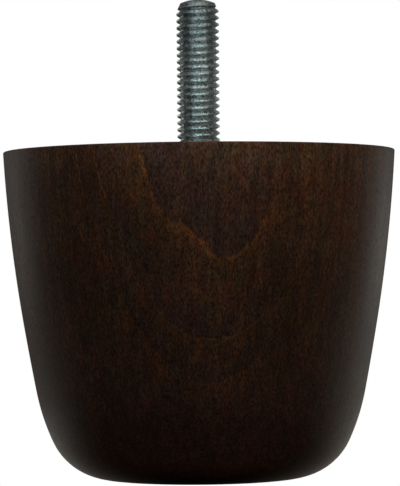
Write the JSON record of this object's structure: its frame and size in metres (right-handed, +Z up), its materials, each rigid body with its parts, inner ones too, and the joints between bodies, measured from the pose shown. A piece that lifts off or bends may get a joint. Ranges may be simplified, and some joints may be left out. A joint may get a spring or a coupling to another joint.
{
  "type": "furniture leg",
  "caption": "Low turned wooden furniture leg, round and drawn in to a flat foot, with a steel hanger bolt standing from its top to screw into furniture.",
  "frame": {"origin": "middle of the flat of the foot, on the floor", "axes": "+Z up along the turning axis and the bolt, towards the furniture; X and Y are any two square directions across the round body"},
  "size_m": [0.072, 0.072, 0.088],
  "materials": {
    "stained_wood": "dark brown stain, satin lacquer",
    "zinc_steel": "bright zinc plating"
  },
  "bodies": {
    "root": {"leg_body": "stained_wood", "hanger_bolt": "zinc_steel"}
  },
  "joints": []
}
